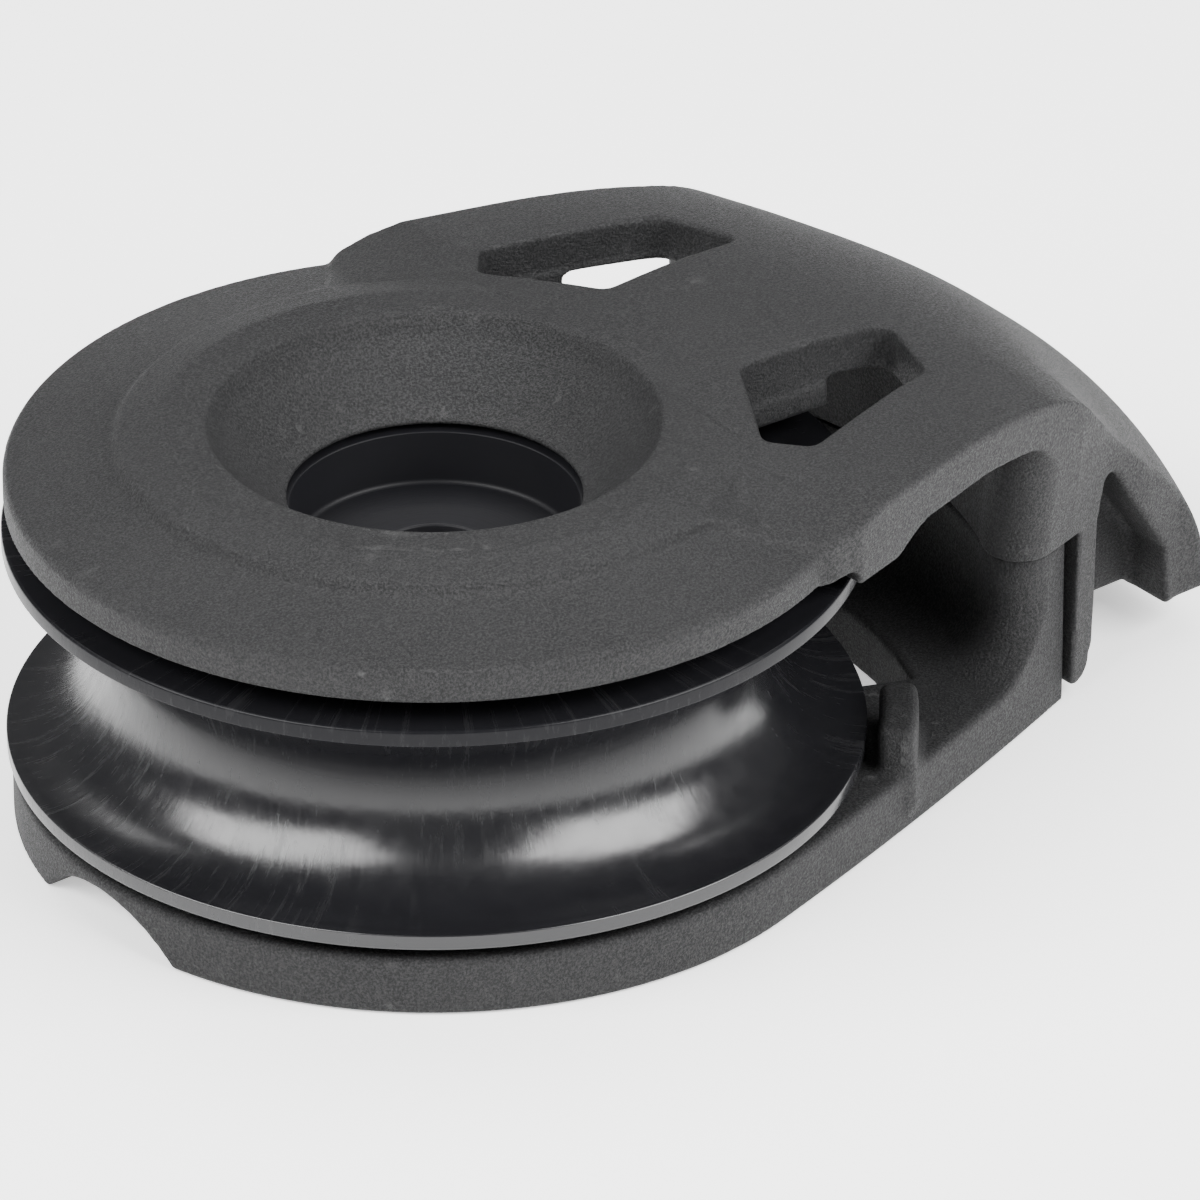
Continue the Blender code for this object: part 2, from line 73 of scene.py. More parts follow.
CORE_Z = (hub_low.z, hub_high.z)
BORE_R = race_high.x - AXIS_X
INSERT_R = insert_high.x - AXIS_X
INSERT_Z = (insert_low.z, insert_high.z)

# Sheave. Its gloss fades between the two heights of GROOVE_FADE.
LAND = 0.8
RIM_EDGE = 0.16
GROOVE_FADE = (7.6, 9.8)

# Upper cheek. The ledge makes each window narrower by LEDGE below LEDGE_Z.
TOP = 20.05
DISC_LOW = 16.3
HUB_UNDERSIDE = 15.9
LIP_R = 6.8
HEAD_PLATE = 2.2
HOOD_LOW = 2.0
HOOD_HALF = 10.4
TAPER = 0.283
POST_LOW = COLUMN_TOP + 0.05
POST_BACK = 30.5
WALL_R = 26.8
WALL_CORNER = 1.8
BAND_LOW = 15.5
SIDE_EDGE = 0.22
WINDOW_LOW = 14.8
LEDGE = 0.14
LEDGE_Z = 17.6
SCREW_TIP = 14.3

# Lower cheek. OPENING: inner and outer radius, half angle. KEEPER: inner and outer radius, middle and
# half angle. CHANNEL: half width, depth, inner end. SCREWS: places in plan, the last one at the head.
PLATE = 2.9
SIDE_START = 5.1
OPENING = (15.5, 22.9, radians(24))
KEEPER = (20.6, 22.4, radians(41), radians(6.5))
KEEPER_TOP = 5.2
CHANNEL = (4.65, 2.2, -11.0)
SCREWS = [(2.6, 4.503), (-5.2, 0.0), (26.4, 10.3)]
SCREW_R = 1.05
SCREW_HEAD_R = 1.65
SCREW_HEAD_TOP = 0.75
SCREW_CONE_TOP = 1.6
BELOW = -2

# Hub.
CUP_R = 6.7
CUP_FLOOR = 12.9
HOLE_R = 2.7
INSERT_BORE = 1.95
THREAD_PITCH = 0.7
THREAD_DEPTH = 0.3

# Meshing: the distance between sample points, and the most triangles that a cheek keeps.
VOXEL = 0.14
MOST_FACES = 190000

# Studio. Angles are in degrees and sizes in metres. A softbox is its azimuth, elevation, distance,
# (width, height) and power.
VIEW = (-37.9, 30.4)
VIEW_ROLL = 0.58
VIEW_DISTANCE = 0.6
SEEN_WIDTH = 0.05597
LOOK_AT = (0.00757, 0.00906)
SENSOR = 36
SOFTBOXES = {
    "right_box": (24, 37, 0.5, (0.42, 0.3), 7.0),
    "left_box": (-96, 40, 0.5, (0.5, 0.24), 6.0),
    "back_box": (-38, 112, 0.6, (0.8, 0.35), 5.5),
}
BLOCK_MIDDLE = 0.01
FLOOR_DROP = 0.00005
FLOOR_GLOW = 0.7
WORLD_LIGHT = 0.2


# Outlines ----------------------------------------------------------------------------------------


def arc(radius, start, end, count, centre=(0.0, 0.0)):
    angles = [start + (end - start) * i / (count - 1) for i in range(count)]
    return [(centre[0] + radius * cos(a), centre[1] + radius * sin(a)) for a in angles]


def rounded(corners, count=6):
    """A closed outline from (x, y, radius) corners, each corner an arc of about its radius."""
    made = []
    for i, (x, y, radius) in enumerate(corners):
        here = Vector((x, y))
        before = (Vector(corners[i - 1][:2]) - here).normalized()
        after = (Vector(corners[(i + 1) % len(corners)][:2]) - here).normalized()
        if radius == 0:
            made.append((x, y))
            continue
        half = before.angle(after) / 2
        centre = here + (before + after).normalized() * radius / sin(half)
        start = here + before * radius / tan(half) - centre
        end = here + after * radius / tan(half) - centre
        sweep = start.angle_signed(end)
        for step in range(count + 1):
            point = centre + Matrix.Rotation(-sweep * step / count, 2) @ start
            made.append((point.x, point.y))
    return made


def wall_outline(half, back, radius):
    """The head wall in plan, for y >= 0: round the sheave in front, along the cheek's side behind."""
    angle = 0.2
    while WALL_R * sin(angle) < half(WALL_R * cos(angle)):
        angle += 0.002
    corner = (WALL_R * cos(angle), WALL_R * sin(angle), radius)
    room_for_corner = 0.19
    front = [(x, y, 0) for x, y in arc(WALL_R, 0, angle - room_for_corner, 25)]
    past_middle = -3
    start, end = (WALL_R, past_middle, 0), (back, past_middle, 0)
    return rounded([start] + front + [corner, (back, half(back), 0), end], 12)


def smooth_curve(points, count):
    """A smooth curve through the points, with count steps for each stretch."""
    points = [Vector((*p, 0.0)) for p in points]
    made = []
    for i in range(len(points) - 1):
        before, after = points[max(i - 1, 0)], points[min(i + 2, len(points) - 1)]
        a, b = points[i], points[i + 1]
        reach = (b - a).length / 3
        left = a + (b - before).normalized() * reach
        right = b - (after - a).normalized() * reach
        made += interpolate_bezier(a, left, right, b, count + 1)[:-1]
    return [(p.x, p.y) for p in made] + [(points[-1].x, points[-1].y)]


# Solids as distance fields -----------------------------------------------------------------------
# A field holds, at each grid point, the distance to a solid's surface, negative inside. Unions and
# cuts of fields can be rounded, which gives the fillets that a moulding has.


def outline_distance(px, py, outline):
    """Distance from points to a closed outline, negative inside it."""
    shape = np.broadcast(px, py).shape
    nearest = np.full(shape, 1e9, np.float32)
    inside = np.zeros(shape, bool)
    for (ax, ay), (bx, by) in zip(outline, outline[1:] + outline[:1]):
        ex, ey = bx - ax, by - ay
        if ex == ey == 0:
            continue
        wx, wy = px - ax, py - ay
        along = np.clip((wx * ex + wy * ey) / (ex * ex + ey * ey), 0, 1)
        nearest = np.minimum(nearest, (wx - ex * along) ** 2 + (wy - ey * along) ** 2)
        if ey != 0:
            inside ^= ((ay > py) != (by > py)) & (px < ex * (py - ay) / ey + ax)
    return np.where(inside, -np.sqrt(nearest), np.sqrt(nearest)).astype(np.float32)


def union(a, b, fillet=0.0):
    """Both solids, with a fillet where they meet."""
    if fillet == 0.0:
        return np.minimum(a, b)
    corner = np.hypot(np.maximum(fillet - a, 0), np.maximum(fillet - b, 0))
    return np.maximum(fillet, np.minimum(a, b)) - corner


def common(a, b, edge=0.0):
    """What two solids share, with a rounded edge where they meet."""
    if edge == 0.0:
        return np.maximum(a, b)
    corner = np.hypot(np.maximum(edge + a, 0), np.maximum(edge + b, 0))
    return np.minimum(-edge, np.maximum(a, b)) + corner


def without(a, b, edge=0.0):
    """The first solid with the second cut out of it."""
    return common(a, -b, edge)


def ramp(value, low, high):
    """From 0 at low to 1 at high, in a straight line."""
    return np.clip((value - low) / (high - low), 0, 1)


def smooth(value, low, high):
    """From 0 at low to 1 at high, in an S-curve."""
    t = ramp(value, low, high)
    return t * t * (3 - 2 * t)


class Grid:
    """Sample points over a box, on the +Y half only: the cheeks are the same on both sides."""

    def __init__(self, x_range, y_high, z_range):
        self.x = np.arange(x_range[0], x_range[1], VOXEL, dtype=np.float32)[:, None, None]
        self.y = (np.arange(0, y_high, VOXEL, dtype=np.float32) + VOXEL / 2)[None, :, None]
        self.z = np.arange(z_range[0], z_range[1], VOXEL, dtype=np.float32)[None, None, :]
        self.r = np.hypot(self.x, self.y)

    def turned(self, profile):
        """A body of revolution about the sheave's axis from its (radius, z) outline."""
        step = VOXEL / 2
        radii = np.arange(0, self.r.max() + 2 * step, step, dtype=np.float32)
        table = outline_distance(radii[:, None], self.z[0], profile)
        place = self.r[:, :, 0] / step
        cell = place.astype(np.int32)
        share = (place - cell)[:, :, None]
        return table[cell] * (1 - share) + table[cell + 1] * share

    def plan(self, outline):
        """A column of unlimited height from its (x, y) outline."""
        return outline_distance(self.x[:, :, 0], self.y[0].T, outline)[:, :, None]

    def leaning(self, outline, inset):
        """A plan outline's field whose side moves in by inset, given for each height."""
        table = outline_distance(self.x[:, :, 0], self.y[0].T, outline)
        place = (self.y[0] + inset.reshape(1, -1)) / VOXEL - 0.5
        place = np.clip(place, 0, table.shape[1] - 1.01)
        cell = place.astype(np.int32)
        share = (place - cell)[None]
        return table[:, cell] * (1 - share) + table[:, cell + 1] * share

    def side(self, outline):
        """A bar of unlimited width from its (x, z) outline."""
        return outline_distance(self.x[:, 0], self.z[0], outline)[:, None, :]

    def slab(self, low, high):
        return np.maximum(low - self.z, self.z - high)

    def cylinder(self, x, y, radius, low, high):
        across = np.hypot(self.x - x, self.y - y) - radius
        return common(across, self.slab(low, high))

    def mesh(self, name, field):
        """The field's zero surface as a mesh in metres, mirrored to both sides."""
        whole = np.concatenate([field[:, ::-1], field], axis=1)
        band = 3 * VOXEL
        volume = openvdb.FloatGrid(band)
        volume.copyFromArray(np.clip(whole, -band, band).astype(np.float32))
        points, quads = volume.convertToQuads(isovalue=0.0)
        corner = np.array([self.x[0, 0, 0], -self.y[0, -1, 0], self.z[0, 0, 0]])
        points = (points * VOXEL + corner + (AXIS_X, 0, 0)) * MM
        mesh = bpy.data.meshes.new(name)
        mesh.from_pydata(points, [], quads[:, ::-1])
        return mesh


# Building pieces ---------------------------------------------------------------------------------


def finish_piece(name, mesh, body, nodes, finish):
    """Puts a mesh in the scene as a piece that rides on a body and stands for CAD nodes."""
    mesh.materials.clear()
    mesh.materials.append(finish)
    obj = bpy.data.objects.new(name, mesh)
    bpy.context.scene.collection.objects.link(obj)
    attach(obj, body)
    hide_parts(*nodes)
    return obj


def apply_modifiers(obj):
    graph = bpy.context.evaluated_depsgraph_get()
    mesh = bpy.data.meshes.new_from_object(obj.evaluated_get(graph))
    obj.modifiers.clear()
    obj.data = mesh


def moulding(name, mesh, nodes, finish):
    """A cheek's mesh, relaxed a little, thinned to about MOST_FACES triangles and smooth shaded."""
    obj = finish_piece(name, mesh, "housing", nodes, finish)
    relax = obj.modifiers.new("relax", "SMOOTH")
    relax.factor = 0.5
    relax.iterations = 1
    faces = 2 * len(mesh.polygons)
    if faces > MOST_FACES:
        thin = obj.modifiers.new("thin", "DECIMATE")
        thin.ratio = MOST_FACES / faces
    apply_modifiers(obj)
    obj.data.shade_smooth()
    return obj


def turned_mesh(name, profile, steps):
    """A body of revolution about the sheave's axis, in metres, from a closed (radius, z) outline."""
    count = len(profile)
    angles = np.arange(steps) * 2 * pi / steps
    radius, height = np.array(profile, float).T
    x = AXIS_X + np.outer(np.cos(angles), radius)
    y = np.outer(np.sin(angles), radius)
    z = np.broadcast_to(height, x.shape)
    points = np.stack([x, y, z], -1).reshape(-1, 3) * MM
    faces = []
    for i in range(steps):
        here, there = i * count, (i + 1) % steps * count
        for j in range(count):
            k = (j + 1) % count
            faces.append((here + j, there + j, there + k, here + k))
    mesh = bpy.data.meshes.new(name)
    mesh.from_pydata(points, [], faces)
    bm = bmesh.new()
    bm.from_mesh(mesh)
    bmesh.ops.remove_doubles(bm, verts=bm.verts, dist=1e-7)
    bmesh.ops.recalc_face_normals(bm, faces=bm.faces)
    bm.to_mesh(mesh)
    bm.free()
    mesh.shade_smooth()
    mesh.set_sharp_from_angle(angle=radians(40))
    return mesh


# Upper cheek -------------------------------------------------------------------------------------


def half_width(x):
    """Half the head plate's width: an S-curve out of the boss, then a straight taper."""
    boss = 14.4 + 0.12 * (x - 3)
    plate = np.maximum(18.3 - TAPER * np.maximum(x - 10.3, 0), HOOD_HALF)
    blend = smooth(x, 4.6, 8.8)
    return boss * (1 - blend) + plate * blend


def crown(x):
    """How fast the plate drops towards its sides, per millimetre squared."""
    tail = 2.6 * (1 - ramp(x, 7, 12)) * ramp(x, 4.6, 7)
    return (3.4 + tail + 2.5 * ramp(x, 12, 25) + 12.1 * smooth(x, 25, 34)) / 1000


def bow(x):
    """How far the hood's end curves back at its sides, per millimetre squared."""
    return 15.0 * ramp(x, 28, 36) / 1000


def head_ridge():
    """The head plate's middle line in (x, z), from the boss over the hood to its lower edge."""
    bend = [(9.2, TOP), (21.0, TOP - 0.15), (28.5, 18.05), (34.0, 14.1), (38.0, 10.0), (39.8, 6.3)]
    return [(-6.0, TOP), (2.0, TOP)] + smooth_curve(bend + [(HEAD_X - 0.1, 0.8)], 10)


def disc_profile():
    return rounded(
        [
            (0, TOP - 0.1, 0),
            (12.6, TOP - 0.1, 1.5),
            (14.5, 19.5, 0.1),
            (14.9, 18.95, 0.1),
            (19.65, 17.95, 0.15),
            (DISC_R, 17.7, 0.1),
            (DISC_R, DISC_LOW, 0.12),
            (8.3, DISC_LOW, 0),
            (8.0, HUB_UNDERSIDE, 0),
            (0, HUB_UNDERSIDE, 0),
        ]
    )


def funnel_profile():
    return rounded(
        [
            (0, TOP + 2, 0),
            (10.8, TOP + 2, 0),
            (10.5, TOP - 0.1, 0.1),
            (9.85, 19.0, 1.2),
            (7.5, 16.65, 0.8),
            (LIP_R, 16.1, 0.1),
            (LIP_R, HUB_UNDERSIDE - 1, 0),
            (0, HUB_UNDERSIDE - 1, 0),
        ]
    )


def window_outline():
    corners = [(14.1, 4.9), (22.6, 5.4), (21.3, 9.7), (12.4, 12.3), (10.9, 10.5)]
    return rounded([(x, y, 0.7) for x, y in corners])


def under_ridge(grid):
    """Distance to the head's outer skin, which is crowned across and bowed back at the hood."""
    squared = grid.y**2
    guess = grid.x + bow(grid.x) * squared
    along = grid.x + bow(guess) * squared
    height = grid.z + crown(along) * squared
    step = 0.1
    xs = np.arange(0, HEAD_X + 12, step, dtype=np.float32)
    zs = np.arange(-4, TOP + 10, step, dtype=np.float32)
    outline = head_ridge() + [(HEAD_X, -6.0), (-6.0, -6.0)]
    table = outline_distance(xs[:, None], zs[None, :], outline)
    across, up = np.broadcast_arrays(along / step, (height - zs[0]) / step)
    across = np.clip(across, 0, len(xs) - 1.01)
    up = np.clip(up, 0, len(zs) - 1.01)
    i, j = across.astype(np.int32), up.astype(np.int32)
    u, v = across - i, up - j
    low = table[i, j] * (1 - u) + table[i + 1, j] * u
    high = table[i, j + 1] * (1 - u) + table[i + 1, j + 1] * u
    return low * (1 - v) + high * v, along


def inset(z):
    """How far the head's side leans in below the band along the plate's edge."""
    return 0.13 * np.clip(BAND_LOW - z, 0, BAND_LOW - POST_LOW) + 0.03 * np.maximum(POST_LOW - z, 0)


def pocket_outline():
    """The open pocket between the leg and the end wall, in (x, z)."""
    low = -3.0
    roof = [(30.5, 10.5, 0.5), (31.2, 11.3, 0.5), (31.8, 10.8, 0.6)]
    wall = [(33.15, 8.6, 0), (34.95, 6.1, 0.5), (35.5, 5.2, 0.6), (35.65, 2.8, 0), (35.65, low, 0)]
    return rounded([(POST_BACK, low, 0), (POST_BACK, 3.0, 0)] + roof + wall)


def head_shell(skin, flank, along, grid):
    """The thin plate that follows the head's skin, from the boss to the hood."""
    shell = common(common(skin, -(skin + HEAD_PLATE), 0.25), flank, SIDE_EDGE)
    return common(common(shell, 1.5 - along), grid.x - 30)


def head_hood(skin, flank, grid):
    """The hood over the head end, with the pocket on each side and the hollow in its middle."""
    hood = common(common(skin, flank, SIDE_EDGE), 29.0 - grid.x)
    hood = common(hood, HOOD_LOW - grid.z, 0.35)
    pocket = grid.side(pocket_outline())
    hood = without(hood, pocket, 0.3)
    hollow = common(pocket, np.abs(grid.y) - 5.9, 0.5)
    under_roof = common(grid.x - 29.3, -(skin + HEAD_PLATE + 0.3))
    return without(hood, common(hollow, under_roof), 0.3)


def head_post(skin, grid):
    """The solid wall that stands on the lower cheek's column, behind the sheave."""
    plan = wall_outline(half_width, POST_BACK, WALL_CORNER)
    post = common(grid.leaning(plan, inset(grid.z)), POST_LOW - grid.z, 0.25)
    return common(post, skin + 0.6)


def head_leg(skin, flank, grid):
    """The slim leg that reaches down beside the column."""
    front = [(28.9, 14, 0), (28.9, 9, 0), (28.6, 0.6, 0.5)]
    back = [(30.2, 0.6, 1.0), (POST_BACK, 9, 0), (30.9, 13, 0)]
    leg = common(grid.side(rounded(front + back)), flank, 0.25)
    return common(leg, skin + 0.5)


def head_web(skin, grid):
    """The upright rib inside the hood."""
    outline = [(29.4, HOOD_LOW + 0.4), (29.4, 15.0), (38.5, 9.0), (38.5, HOOD_LOW + 0.4)]
    web = common(grid.side(outline), np.abs(grid.y - 7.25) - 0.75, 0.2)
    return common(web, skin + 0.8)


def head_lug(skin, flank, grid):
    """The thicker edge of the plate where it meets the disc."""
    front = [(10.2, 18.0, 0), (10.2, 15.5, 0.3), (13.3, 15.5, 0.9)]
    back = [(15.4, 16.6, 1.2), (19.5, 17.0, 0), (19.5, 18.0, 0)]
    lug = common(grid.side(rounded(front + back)), -(flank + 2.8), 0.3)
    return common(common(lug, flank, SIDE_EDGE), skin + 0.4)


def window_cut(grid):
    """The window's opening through the plate, narrower below its ledge."""
    window = grid.plan(window_outline())
    return common(union(common(window, LEDGE_Z - grid.z), window + LEDGE), WINDOW_LOW - grid.z)


def build_upper_cheek(finish):
    grid = Grid((-DISC_R - 1, HEAD_X + 1), DISC_R + 1, (0.0, TOP + 1))
    skin, along = under_ridge(grid)
    slope = (half_width(along + 0.05) - half_width(along - 0.05)) / 0.1
    lean = inset(grid.z) * (1 - smooth(grid.x, 30.5, 34.5))
    flank = (grid.y + lean - half_width(along)) / np.sqrt(1 + slope**2)

    head = union(head_shell(skin, flank, along, grid), head_post(skin, grid), 1.3)
    head = union(head, head_hood(skin, flank, grid))
    head = union(head, head_leg(skin, flank, grid), 0.3)
    head = union(head, head_web(skin, grid), 0.5)
    head = union(head, head_lug(skin, flank, grid), 0.6)
    head = common(common(head, flank), skin)

    body = union(grid.turned(disc_profile()), head, 0.3)
    body = common(body, np.where(grid.x > 10, skin, grid.z - TOP))
    body = without(body, window_cut(grid), SIDE_EDGE)
    body = without(body, grid.turned(funnel_profile()), 0.15)
    x, y = SCREWS[-1]
    body = without(body, grid.cylinder(x, y, SCREW_R, 0, SCREW_TIP))
    return moulding("upper_cheek_moulding", grid.mesh("upper_cheek", body), ["upper_cheek"], finish)


# Lower cheek -------------------------------------------------------------------------------------


def lower_half_width(x):
    """Half the lower cheek's width, from where its round tail ends to the head."""
    run = x - SIDE_START
    return sqrt(CHEEK_R**2 - SIDE_START**2) - 0.268 * run - 0.0022 * run**2


def lower_outline():
    """Round at the tail, then a slightly bowed taper to the head, as a closed outline."""
    side = [(float(x), lower_half_width(float(x))) for x in np.linspace(SIDE_START, COLUMN_BACK, 13)[1:]]
    angle = pi / 2 - SIDE_START / CHEEK_R
    tail = arc(CHEEK_R, angle, 2 * pi - angle, 97)
    return tail + [(x, -y) for x, y in side] + side[::-1]


def sector(inner, outer, start, end, radius):
    """A piece of a ring in plan, with round corners."""
    count = 9
    made = []
    for points in (arc(outer, start, end, count), arc(inner, end, start, count)):
        made += [(*p, radius if i in (0, count - 1) else 0) for i, p in enumerate(points)]
    return rounded(made)


def channel_cut(grid):
    """The arched channel across the tail's underside."""
    half, depth, end = CHANNEL
    radius = (half**2 + depth**2) / (2 * depth)
    return common(np.hypot(grid.y, grid.z - depth + radius) - radius, grid.x - end, 0.8)


def screw_cut(grid, x, y):
    """A countersunk screw hole from below."""
    rim = np.maximum(grid.cylinder(x, y, SCREW_HEAD_R, BELOW, SCREW_HEAD_TOP), 0)
    cone = np.hypot(grid.x - x, grid.y - y) - SCREW_HEAD_R + np.maximum(grid.z - SCREW_HEAD_TOP, 0)
    cone = common(cone * 0.7071, grid.slab(BELOW, SCREW_CONE_TOP))
    shank = grid.cylinder(x, y, SCREW_R, BELOW, 20)
    return union(union(rim, cone), shank)


def build_lower_cheek(finish):
    grid = Grid((-CHEEK_R - 1, COLUMN_BACK + 1), CHEEK_R + 1, (-1.0, COLUMN_TOP + 1))
    rim = grid.plan(lower_outline())
    plate = common(common(rim, -grid.z, 0.15), grid.z - PLATE, 0.3)

    wall_plan = grid.plan(wall_outline(lower_half_width, COLUMN_BACK, WALL_CORNER))
    wall = common(wall_plan, grid.slab(0.8, COLUMN_TOP - 0.35), 0.2)
    body = union(plate, wall, 3.4)
    body = common(common(body, rim), common(rim, -grid.z, 0.15))

    inner, outer, middle, half = KEEPER
    keeper_plan = grid.plan(sector(inner, outer, middle - half, middle + half, 0.5))
    keeper = common(keeper_plan, grid.slab(0.8, KEEPER_TOP), 0.45)
    body = union(body, keeper, 0.5)

    inner, outer, reach = OPENING
    body = without(body, grid.plan(sector(inner, outer, -reach, reach, 0.01)), 0.3)
    body = without(body, channel_cut(grid), 0.25)
    body = without(body, grid.r - HOLE_R - 0.3, 0.2)
    for x, y in SCREWS:
        body = without(body, screw_cut(grid, x, y), 0.1)
    return moulding("lower_cheek_moulding", grid.mesh("lower_cheek", body), ["lower_cheek"], finish)


# Sheave, hub and small parts ---------------------------------------------------------------------


def build_sheave(finish):
    low, high = SHEAVE_Z
    middle, radius = (low + high) / 2, (high - low) / 2 - LAND
    groove = arc(radius, pi / 2, 3 * pi / 2, 65, (SHEAVE_R, middle))[2:-2]
    edge = [(BORE_R, high, 0), (SHEAVE_R, high, RIM_EDGE), (SHEAVE_R, high - LAND, 0.08)]
    upper = rounded(edge + [(SHEAVE_R - 0.6, high - LAND - 0.1, 0)])[:-1]
    lower = [(r, 2 * middle - z) for r, z in reversed(upper)]
    mesh = turned_mesh("sheave", upper + groove + lower, 288)
    return finish_piece("sheave_wheel", mesh, "wheel", ["sheave"], finish)


def build_hub(finish):
    low, high = CORE_Z
    profile = rounded(
        [
            (CORE_R, high, 0.08),
            (CORE_R, low, 0.1),
            (HOLE_R, low, 0),
            (HOLE_R, CUP_FLOOR, 0.15),
            (CUP_R, CUP_FLOOR, 0.25),
            (CUP_R, high, 0.06),
        ]
    )
    mesh = turned_mesh("hub", profile, 192)
    return finish_piece("hub_cup", mesh, "housing", ["hub_core"], finish)


def build_insert(finish):
    """The threaded sleeve: its bore is a helical ridge, its outside a plain wall."""
    low, high = INSERT_Z
    steps, rows = 96, int((high - low) / THREAD_PITCH) * 8
    points, faces = [], []
    for i in range(steps):
        angle = 2 * pi * i / steps
        column = []
        for j in range(rows + 1):
            z = low + (high - low) * j / rows
            phase = (z / THREAD_PITCH - i / steps) % 1
            column.append((INSERT_BORE + THREAD_DEPTH * abs(2 * phase - 1), z))
        column += [(INSERT_R, high), (INSERT_R, low)]
        points += [((AXIS_X + r * cos(angle)) * MM, r * sin(angle) * MM, z * MM) for r, z in column]
    count = rows + 3
    for i in range(steps):
        here, there = i * count, (i + 1) % steps * count
        for j in range(count):
            k = (j + 1) % count
            faces.append((here + j, here + k, there + k, there + j))
    mesh = bpy.data.meshes.new("insert")
    mesh.from_pydata(points, [], faces)
    mesh.shade_smooth()
    mesh.set_sharp_from_angle(angle=radians(50))
    return finish_piece("threaded_sleeve", mesh, "housing", ["thread_insert"], finish)


# Materials ---------------------------------------------------------------------------------------


class Nodes:
    """A short way to write a node tree."""

    def __init__(self, name):
        self.material = bpy.data.materials.new(name)
        self.material.use_nodes = True
        self.tree = self.material.node_tree
        self.shader = self.tree.nodes["Principled BSDF"]
        place = self.add("ShaderNodeTexCoord").outputs["Object"]
        scale = self.add("ShaderNodeMapping", {"Scale": (1 / MM,) * 3, "Vector": place})
        self.place = scale.outputs[0]

    def add(self, kind, inputs=None, **settings):
        node = self.tree.nodes.new(kind)
        for name, value in settings.items():
            setattr(node, name, value)
        for name, value in (inputs or {}).items():
            self.put(node, name, value)
        return node

    def put(self, node, name, value):
        socket = node.inputs[name]
        if isinstance(value, bpy.types.NodeSocket):
            self.tree.links.new(value, socket)
        else:
            socket.default_value = value

    def set(self, **inputs):
        """Sets the shader's inputs, with underscores for the spaces in their names."""
        for name, value in inputs.items():
            self.put(self.shader, name.replace("_", " "), value)

    def from_axis(self):
        """X and Y from the sheave's axis and the height, all in millimetres."""
        x, y, z = self.add("ShaderNodeSeparateXYZ", {"Vector": self.place}).outputs
        return self.math("SUBTRACT", x, AXIS_X), y, z

    def noise(self, scale, detail=3.0, roughness=0.6, place=None):
        """Noise with scale features for each millimetre."""
        inputs = {"Vector": place or self.place, "Scale": scale, "Detail": detail, "Roughness": roughness}
        return self.add("ShaderNodeTexNoise", inputs).outputs["Fac"]

    def remap(self, value, low, high, to_low, to_high):
        """Stretches a value from one range to another and keeps it inside."""
        inputs = {"Value": value, "From Min": low, "From Max": high, "To Min": to_low, "To Max": to_high}
        return self.add("ShaderNodeMapRange", inputs).outputs[0]

    def math(self, operation, a, b=0.0):
        node = self.add("ShaderNodeMath", operation=operation)
        self.put(node, 0, a)
        self.put(node, 1, b)
        return node.outputs[0]

    def mix(self, share, a, b):
        node = self.add("ShaderNodeMix", data_type="RGBA")
        self.put(node, 0, share)
        self.put(node, 6, a)
        self.put(node, 7, b)
        return node.outputs[2]

    def bump(self, height, distance, strength=1.0, normal=None):
        inputs = {"Height": height, "Distance": distance, "Strength": strength}
        node = self.add("ShaderNodeBump", inputs)
        if normal:
            self.put(node, "Normal", normal)
        return node.outputs[0]


def grained_plastic():
    """Charcoal moulding with a fine spark-eroded grain; its edges are painted paler, partly as wear and
    partly as a highlight.
    """
    dark, less_dark = (0.003, 0.003, 0.0035, 1), (0.006, 0.006, 0.0065, 1)
    # The last of these is the pale grey for edge wear and for the painted edge highlight.
    grain_top, speckle, pale_wear_and_highlight = (0.022, 0.022, 0.0225, 1), (0.06, 0.06, 0.06, 1), (0.07, 0.07, 0.07, 1)
    n = Nodes("grained_plastic")
    grain = n.noise(8.5, 3.0, 0.7)
    speck = n.noise(9.0, 2.0, 0.5)
    cloud = n.noise(0.12, 3.0, 0.5)
    point = n.add("ShaderNodeNewGeometry").outputs["Pointiness"]
    # Paler along sharp edges: partly edge wear, partly a painted highlight on the rounded edges.
    edge = n.remap(point, 0.56, 0.66, 0.0, 1.0)
    edge_wear_and_highlight = n.math("MULTIPLY", edge, n.remap(n.noise(1.3, 4.0, 0.7), 0.42, 0.7, 0.15, 1.0))
    base = n.mix(n.remap(cloud, 0.3, 0.7, 0.0, 1.0), dark, less_dark)
    base = n.mix(n.remap(grain, 0.42, 0.68, 0.0, 1.0), base, grain_top)
    base = n.mix(n.remap(speck, 0.7, 0.82, 0.0, 0.4), base, speckle)
    base = n.mix(n.math("MULTIPLY", edge_wear_and_highlight, 0.5), base, pale_wear_and_highlight)
    rough = n.remap(grain, 0.35, 0.65, 0.72, 0.5)
    normal = n.bump(grain, 0.00012, 1.0)
    n.set(Base_Color=base, Roughness=rough, Normal=normal, Specular_IOR_Level=0.26)
    return n.material


